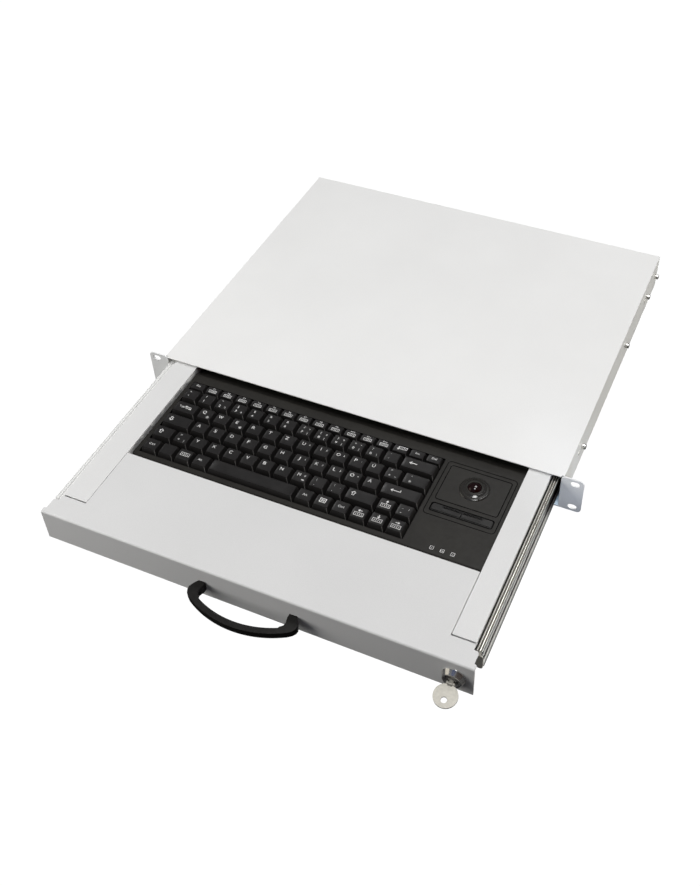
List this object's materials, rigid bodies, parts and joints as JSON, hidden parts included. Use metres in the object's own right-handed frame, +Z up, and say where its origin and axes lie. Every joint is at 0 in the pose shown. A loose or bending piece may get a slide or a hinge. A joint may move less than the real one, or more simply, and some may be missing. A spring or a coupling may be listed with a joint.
{
  "type": "rack keyboard drawer",
  "caption": "One-unit rack drawer pulled out of its sheet steel housing, carrying a compact keyboard with trackball, a bow handle and a key lock.",
  "frame": {"origin": "middle of the four ear slots, on the back face of the ears, which is the plane that seats on the rack posts", "axes": "+X to the user's right, +Y towards the back of the rack, +Z up"},
  "size_m": [0.4826, 0.6338, 0.0436],
  "materials": {
    "housing_paint": "satin light grey paint",
    "cover_paint": "satin light grey paint, fine texture",
    "drawer_paint": "satin light grey paint",
    "tray_paint": "satin light grey paint",
    "strip_paint": "satin light grey paint",
    "grommet_rubber": "matte black",
    "foot_rubber": "matte black",
    "screw_steel": "zinc plated",
    "slide_steel": "bright zinc plated",
    "cage_steel": "dark plated",
    "ball_steel": "polished",
    "stop_steel": "dark grey steel",
    "handle_black": "satin black",
    "lock_chrome": "polished",
    "plug_metal": "satin nickel",
    "key_nickel": "satin nickel",
    "keyboard_black": "fine matte texture",
    "switch_black": "matte",
    "trackball_trim": "half gloss",
    "ball_red": "polished dark red",
    "button_black": "satin black",
    "lens_grey": "dim grey",
    "keycap_black": "satin black"
  },
  "bodies": {
    "housing": {"chassis": "housing_paint", "top_cover": "cover_paint", "cable_grommet": "grommet_rubber", "side_pan_screws": "screw_steel", "side_flush_screws": "screw_steel", "cabinet_slide_left": "slide_steel", "cabinet_slide_right": "slide_steel"},
    "cage_left": {"ball_cage_left": "cage_steel", "slide_balls_left": "ball_steel"},
    "cage_right": {"ball_cage_right": "cage_steel", "slide_balls_right": "ball_steel"},
    "drawer": {"drawer_slide_left": "slide_steel", "drawer_slide_right": "slide_steel", "slide_end_stops": "stop_steel", "drawer_tray": "tray_paint", "front_panel": "drawer_paint", "left_side_cover": "strip_paint", "right_side_cover": "strip_paint", "slide_screws": "screw_steel", "pull_handle": "handle_black", "handle_screws": "screw_steel", "lock_body": "lock_chrome", "lock_nut": "screw_steel", "keyboard_base": "keyboard_black", "keyboard_feet": "foot_rubber", "keyboard_frame": "keyboard_black", "switch_plate": "switch_black", "trackball_insert": "keyboard_black", "trackball_cover": "trackball_trim", "trackball_cup": "switch_black", "indicator_lenses": "lens_grey"},
    "lock_barrel": {"lock_plug": "plug_metal", "lock_cam": "screw_steel", "cam_screw": "screw_steel", "key_blade": "key_nickel", "key_pivot_pin": "key_nickel"},
    "key_bow_body": {"key_bow": "key_nickel"},
    "pointer_ball": {"trackball": "ball_red"},
    "button_left": {"mouse_button_left": "button_black"},
    "button_right": {"mouse_button_right": "button_black"},
    "escape_key_body": {"escape_key": "keycap_black"},
    "function_keys_body": {"function_keys": "keycap_black"},
    "number_keys_body": {"number_keys": "keycap_black"},
    "backspace_key_body": {"backspace_key": "keycap_black"},
    "tab_key_body": {"tab_key": "keycap_black"},
    "upper_letter_keys_body": {"upper_letter_keys": "keycap_black"},
    "hash_key_body": {"hash_key": "keycap_black"},
    "caps_lock_key_body": {"caps_lock_key": "keycap_black"},
    "home_row_keys_body": {"home_row_keys": "keycap_black"},
    "enter_key_body": {"enter_key": "keycap_black"},
    "left_shift_key_body": {"left_shift_key": "keycap_black"},
    "lower_letter_keys_body": {"lower_letter_keys": "keycap_black"},
    "right_shift_key_body": {"right_shift_key": "keycap_black"},
    "modifier_keys_body": {"modifier_keys": "keycap_black"},
    "space_bar_body": {"space_bar": "keycap_black"},
    "arrow_keys_body": {"arrow_keys": "keycap_black"}
  },
  "joints": [
    {"name": "drawer_slide", "type": "slide", "parent": "housing", "child": "drawer", "axis": [0, 1, 0], "range_m": [0, 0.2285]},
    {"name": "cage_slide_left", "type": "slide", "parent": "housing", "child": "cage_left", "axis": [0, 1, 0], "range_m": [0, 0.115]},
    {"name": "cage_slide_right", "type": "slide", "parent": "housing", "child": "cage_right", "axis": [0, 1, 0], "range_m": [0, 0.115]},
    {"name": "lock_turn", "type": "hinge", "parent": "drawer", "child": "lock_barrel", "pos_m": [0.1988, -0.23, -0.0006], "axis": [0, -1, 0], "range_deg": [0, 90]},
    {"name": "key_fold", "type": "hinge", "parent": "lock_barrel", "child": "key_bow_body", "pos_m": [0.1988, -0.2378, -0.0006], "axis": [1, 0, 0], "range_deg": [-11, 74]},
    {"name": "trackball_roll", "type": "hinge", "parent": "drawer", "child": "pointer_ball", "pos_m": [0.1465, -0.0426, 0.012], "axis": [1, 0, 0], "continuous": true},
    {"name": "button_left_press", "type": "slide", "parent": "drawer", "child": "button_left", "axis": [0, 0, -1], "range_m": [0, 0.0008], "stiffness_N_per_m": 500, "springref_m": -0.0006},
    {"name": "button_right_press", "type": "slide", "parent": "drawer", "child": "button_right", "axis": [0, 0, -1], "range_m": [0, 0.0008], "stiffness_N_per_m": 500, "springref_m": -0.0006},
    {"name": "escape_key_press", "type": "slide", "parent": "drawer", "child": "escape_key_body", "axis": [0, 0, -1], "range_m": [0, 0.003], "stiffness_N_per_m": 120, "springref_m": -0.002},
    {"name": "function_keys_press", "type": "slide", "parent": "drawer", "child": "function_keys_body", "axis": [0, 0, -1], "range_m": [0, 0.003], "stiffness_N_per_m": 1800, "springref_m": -0.002},
    {"name": "number_keys_press", "type": "slide", "parent": "drawer", "child": "number_keys_body", "axis": [0, 0, -1], "range_m": [0, 0.003], "stiffness_N_per_m": 1560, "springref_m": -0.002},
    {"name": "backspace_key_press", "type": "slide", "parent": "drawer", "child": "backspace_key_body", "axis": [0, 0, -1], "range_m": [0, 0.003], "stiffness_N_per_m": 120, "springref_m": -0.002},
    {"name": "tab_key_press", "type": "slide", "parent": "drawer", "child": "tab_key_body", "axis": [0, 0, -1], "range_m": [0, 0.003], "stiffness_N_per_m": 120, "springref_m": -0.002},
    {"name": "upper_letter_keys_press", "type": "slide", "parent": "drawer", "child": "upper_letter_keys_body", "axis": [0, 0, -1], "range_m": [0, 0.003], "stiffness_N_per_m": 1440, "springref_m": -0.002},
    {"name": "hash_key_press", "type": "slide", "parent": "drawer", "child": "hash_key_body", "axis": [0, 0, -1], "range_m": [0, 0.003], "stiffness_N_per_m": 120, "springref_m": -0.002},
    {"name": "caps_lock_key_press", "type": "slide", "parent": "drawer", "child": "caps_lock_key_body", "axis": [0, 0, -1], "range_m": [0, 0.003], "stiffness_N_per_m": 120, "springref_m": -0.002},
    {"name": "home_row_keys_press", "type": "slide", "parent": "drawer", "child": "home_row_keys_body", "axis": [0, 0, -1], "range_m": [0, 0.003], "stiffness_N_per_m": 1320, "springref_m": -0.002},
    {"name": "enter_key_press", "type": "slide", "parent": "drawer", "child": "enter_key_body", "axis": [0, 0, -1], "range_m": [0, 0.003], "stiffness_N_per_m": 120, "springref_m": -0.002},
    {"name": "left_shift_key_press", "type": "slide", "parent": "drawer", "child": "left_shift_key_body", "axis": [0, 0, -1], "range_m": [0, 0.003], "stiffness_N_per_m": 120, "springref_m": -0.002},
    {"name": "lower_letter_keys_press", "type": "slide", "parent": "drawer", "child": "lower_letter_keys_body", "axis": [0, 0, -1], "range_m": [0, 0.003], "stiffness_N_per_m": 1200, "springref_m": -0.002},
    {"name": "right_shift_key_press", "type": "slide", "parent": "drawer", "child": "right_shift_key_body", "axis": [0, 0, -1], "range_m": [0, 0.003], "stiffness_N_per_m": 120, "springref_m": -0.002},
    {"name": "modifier_keys_press", "type": "slide", "parent": "drawer", "child": "modifier_keys_body", "axis": [0, 0, -1], "range_m": [0, 0.003], "stiffness_N_per_m": 840, "springref_m": -0.002},
    {"name": "space_bar_press", "type": "slide", "parent": "drawer", "child": "space_bar_body", "axis": [0, 0, -1], "range_m": [0, 0.003], "stiffness_N_per_m": 120, "springref_m": -0.002},
    {"name": "arrow_keys_press", "type": "slide", "parent": "drawer", "child": "arrow_keys_body", "axis": [0, 0, -1], "range_m": [0, 0.003], "stiffness_N_per_m": 600, "springref_m": -0.002}
  ],
  "couplings": [
    {"joint": "cage_slide_left", "follows": "drawer_slide", "ratio": 0.5},
    {"joint": "cage_slide_right", "follows": "drawer_slide", "ratio": 0.5}
  ]
}
